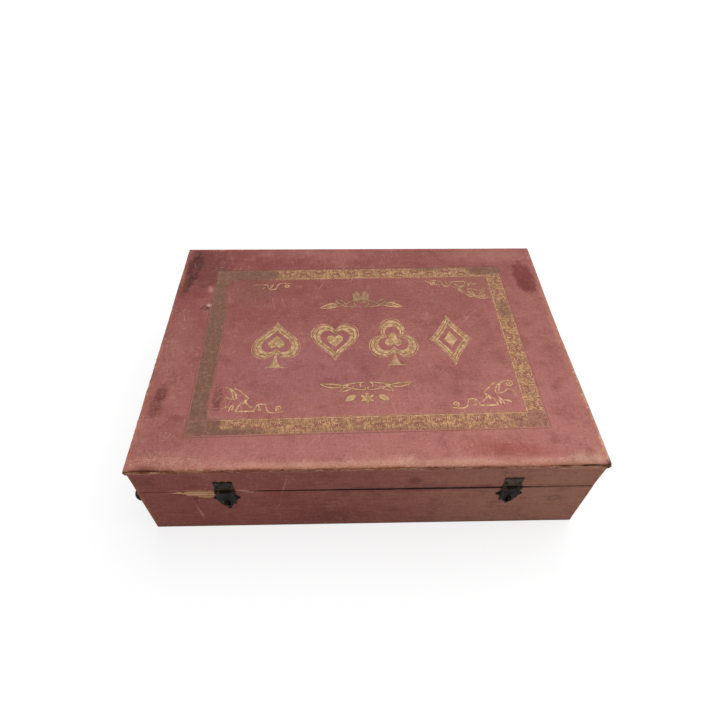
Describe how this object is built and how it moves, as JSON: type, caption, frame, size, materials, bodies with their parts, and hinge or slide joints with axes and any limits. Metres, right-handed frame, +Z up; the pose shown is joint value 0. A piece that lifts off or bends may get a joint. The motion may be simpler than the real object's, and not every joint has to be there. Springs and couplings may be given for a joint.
{
  "type": "games box with hinged lid",
  "caption": "Flat wooden games box covered in worn red cloth, its gold-stamped lid hinged along the back and closed in front by hasp clasps over staples, with divided compartments.",
  "frame": {"origin": "middle of the underside, on the surface that the box stands on", "axes": "+X to the right along the long side, +Y to the back where the hinges are, +Z up"},
  "size_m": [0.4055, 0.303, 0.1045],
  "materials": {
    "book_cloth": "faded red book cloth with gold stamping on the lid, worn pale along the edges",
    "poplar": "bare planed poplar",
    "lining_paper": "aged cream lining paper",
    "underside_paper": "scuffed brown paper",
    "divider_board": "thin wood faced with lining paper",
    "steel_pins": "plain wire",
    "blackened_metal": "blackened sheet iron with worn edges",
    "hinge_brass": "tarnished brass"
  },
  "bodies": {
    "base": {"base_cloth": "book_cloth", "bottom_board": "poplar", "base_front_wall": "poplar", "base_back_wall": "poplar", "base_left_wall": "poplar", "base_right_wall": "poplar", "base_lining": "lining_paper", "bottom_paper": "underside_paper", "long_divider": "divider_board", "front_left_divider": "divider_board", "front_middle_divider": "divider_board", "front_right_divider": "divider_board", "back_left_divider": "divider_board", "back_right_divider": "divider_board", "base_corner_pins": "steel_pins", "bottom_pins": "steel_pins", "left_keeper_plate": "blackened_metal", "right_keeper_plate": "blackened_metal", "left_keeper_staple": "blackened_metal", "right_keeper_staple": "blackened_metal", "keeper_nails": "blackened_metal", "corner_stud": "blackened_metal", "left_hinge_base_leaf": "hinge_brass", "right_hinge_base_leaf": "hinge_brass", "left_hinge_pin": "hinge_brass", "right_hinge_pin": "hinge_brass", "hinge_base_screws": "hinge_brass"},
    "lid": {"lid_board": "poplar", "lid_front_wall": "poplar", "lid_back_wall": "poplar", "lid_left_wall": "poplar", "lid_right_wall": "poplar", "lid_top_cloth": "book_cloth", "lid_side_cloth": "book_cloth", "lid_lining": "lining_paper", "lid_corner_pins": "steel_pins", "lid_board_pins": "steel_pins", "left_hinge_lid_leaf": "hinge_brass", "right_hinge_lid_leaf": "hinge_brass", "hinge_lid_screws": "hinge_brass", "left_clasp_plate": "blackened_metal", "right_clasp_plate": "blackened_metal", "left_clasp_pin": "blackened_metal", "right_clasp_pin": "blackened_metal", "clasp_plate_nails": "blackened_metal"},
    "left_hasp": {"left_hasp": "blackened_metal"},
    "right_hasp": {"right_hasp": "blackened_metal"}
  },
  "joints": [
    {"name": "lid_hinge", "type": "hinge", "parent": "base", "child": "lid", "pos_m": [0, 0.1483, 0.0666], "axis": [-1, 0, 0], "range_deg": [0, 180]},
    {"name": "left_hasp_hinge", "type": "hinge", "parent": "lid", "child": "left_hasp", "pos_m": [-0.1234, -0.1493, 0.0682], "axis": [-1, 0, 0], "range_deg": [0, 150]},
    {"name": "right_hasp_hinge", "type": "hinge", "parent": "lid", "child": "right_hasp", "pos_m": [0.1266, -0.1493, 0.0682], "axis": [-1, 0, 0], "range_deg": [0, 150]}
  ]
}
